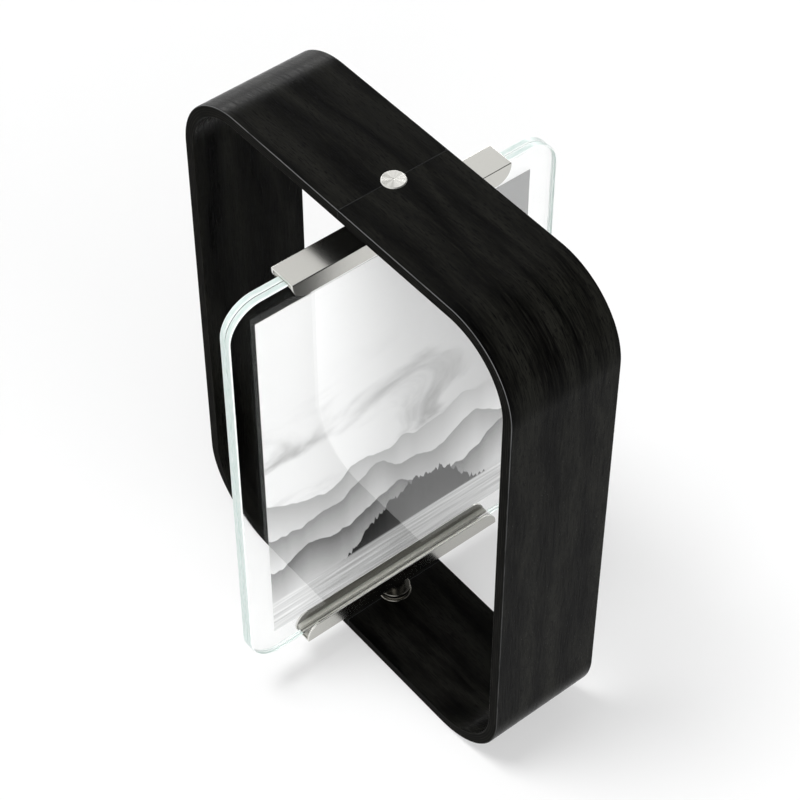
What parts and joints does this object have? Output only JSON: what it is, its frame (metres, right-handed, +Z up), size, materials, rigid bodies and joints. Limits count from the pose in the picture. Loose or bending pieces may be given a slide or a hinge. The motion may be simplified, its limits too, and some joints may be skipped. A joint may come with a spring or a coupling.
{
  "type": "swivel tabletop photo frame",
  "caption": "Tabletop photo frame: a print held between two glass panes turns on a vertical pivot inside a bent wood band.",
  "frame": {"origin": "middle of the footprint, on the table that the foot pads rest on", "axes": "+X across the wood stand and out of the print's face at rest, +Y through the stand's depth, +Z up along the swivel axis"},
  "size_m": [0.188, 0.1516, 0.2411],
  "materials": {
    "black_stained_wood": "satin stained veneer",
    "bare_birch": "raw",
    "satin_nickel": "satin plated",
    "turned_aluminium": "spun face, bright bevel",
    "polished_nickel": "polished",
    "zinc_steel": "zinc plated",
    "white_nylon": "matte",
    "clear_glass": "polished",
    "grey_silicone": "matte",
    "photo_paper": "semi-gloss photo paper",
    "black_felt": "felt"
  },
  "bodies": {
    "stand": {"left_bent_half": "black_stained_wood", "right_bent_half": "black_stained_wood", "seam_splines": "bare_birch", "foot_pads": "black_felt", "top_flanged_bush": "polished_nickel", "bottom_flanged_bush": "polished_nickel", "top_cover_cap": "turned_aluminium", "bottom_cover_cap": "turned_aluminium", "top_thrust_washer": "white_nylon", "bottom_thrust_washer": "white_nylon"},
    "holder": {"top_channel": "satin_nickel", "bottom_channel": "satin_nickel", "top_glazing_liner": "grey_silicone", "bottom_glazing_liner": "grey_silicone", "front_glass_pane": "clear_glass", "rear_glass_pane": "clear_glass", "photo_print": "photo_paper", "top_pivot_post": "polished_nickel", "bottom_pivot_post": "polished_nickel", "top_pivot_screw": "zinc_steel", "bottom_pivot_screw": "zinc_steel"}
  },
  "joints": [
    {"name": "holder_swivel", "type": "hinge", "parent": "stand", "child": "holder", "pos_m": [0, 0, 0.1206], "axis": [0, 0, 1], "continuous": true}
  ]
}
